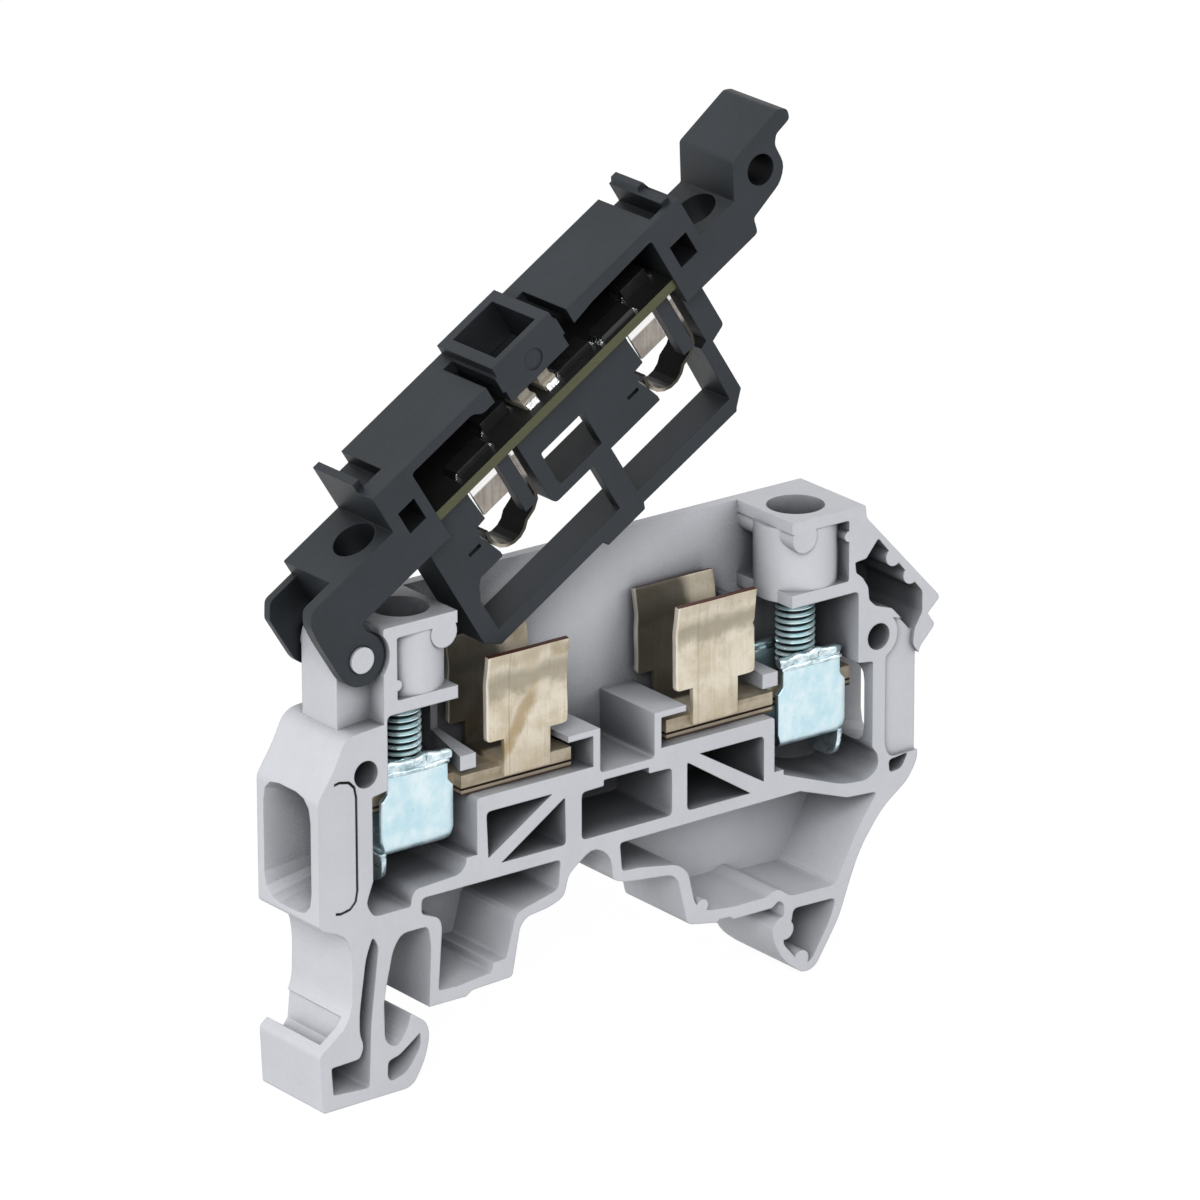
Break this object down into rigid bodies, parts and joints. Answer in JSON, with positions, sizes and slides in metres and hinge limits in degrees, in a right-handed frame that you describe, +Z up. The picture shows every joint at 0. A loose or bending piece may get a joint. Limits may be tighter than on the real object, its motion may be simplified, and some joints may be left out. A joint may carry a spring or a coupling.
{
  "type": "fuse terminal block",
  "caption": "Open-sided rail-mounted terminal block with screw clamps, fork contacts and a swing-up fuse lever that carries a lamp board",
  "frame": {"origin": "middle of the 35 mm rail slot, at the height of the rail's top face, on the block's open face", "axes": "X along the block, Y from the open side to the closed back, Z up from the rail"},
  "size_m": [0.0549, 0.0073, 0.0653],
  "materials": {
    "housing_grey": "light grey polyamide, faintly mottled moulded surface",
    "lever_dark": "dark blue-grey polyamide, fine satin grain",
    "tarnished_brass": "tin-plated brass, tarnished brownish with soft streaks",
    "zinc_steel": "blue-passivated zinc plated steel, bright",
    "spring_nickel": "bright nickel plated spring strip",
    "board_olive": "bare edge of a glass-epoxy board, olive",
    "chip_black": "black epoxy body",
    "lamp_beige": "beige chip lamp body",
    "solder": "bright solder fillets"
  },
  "bodies": {
    "block": {"housing": "housing_grey", "busbar_left": "tarnished_brass", "busbar_right": "tarnished_brass", "fork_contact_left": "tarnished_brass", "fork_contact_right": "tarnished_brass"},
    "lever": {"fuse_lever": "lever_dark", "circuit_board": "board_olive", "contact_spring_left": "spring_nickel", "contact_spring_right": "spring_nickel", "indicator_led_1": "lamp_beige", "indicator_led_2": "lamp_beige", "resistor_1": "chip_black", "resistor_2": "chip_black", "resistor_3": "chip_black", "diode_1": "chip_black", "diode_2": "chip_black", "solder_joints": "solder"},
    "cage_left": {"clamp_cage_left": "zinc_steel"},
    "cage_right": {"clamp_cage_right": "zinc_steel"},
    "screw_left": {"clamp_screw_left": "zinc_steel"},
    "screw_right": {"clamp_screw_right": "zinc_steel"}
  },
  "joints": [
    {"name": "lever_swing", "type": "hinge", "parent": "block", "child": "lever", "pos_m": [-0.01917, 0.00365, 0.02695], "axis": [0, -1, 0], "range_deg": [-32, 58]},
    {"name": "screw_left_turn", "type": "hinge", "parent": "block", "child": "screw_left", "pos_m": [-0.0139, 0.0031, 0.0235], "axis": [0, 0, -1], "range_deg": [0, 1730]},
    {"name": "screw_right_turn", "type": "hinge", "parent": "block", "child": "screw_right", "pos_m": [0.0209, 0.0031, 0.0235], "axis": [0, 0, -1], "range_deg": [0, 1730]},
    {"name": "cage_left_rise", "type": "slide", "parent": "block", "child": "cage_left", "axis": [0, 0, 1], "range_m": [0, 0.0024]},
    {"name": "cage_right_rise", "type": "slide", "parent": "block", "child": "cage_right", "axis": [0, 0, 1], "range_m": [0, 0.0024]}
  ],
  "couplings": [
    {"joint": "screw_left_turn", "follows": "cage_left_rise", "rad_per_m": 12566},
    {"joint": "screw_right_turn", "follows": "cage_right_rise", "rad_per_m": 12566}
  ]
}
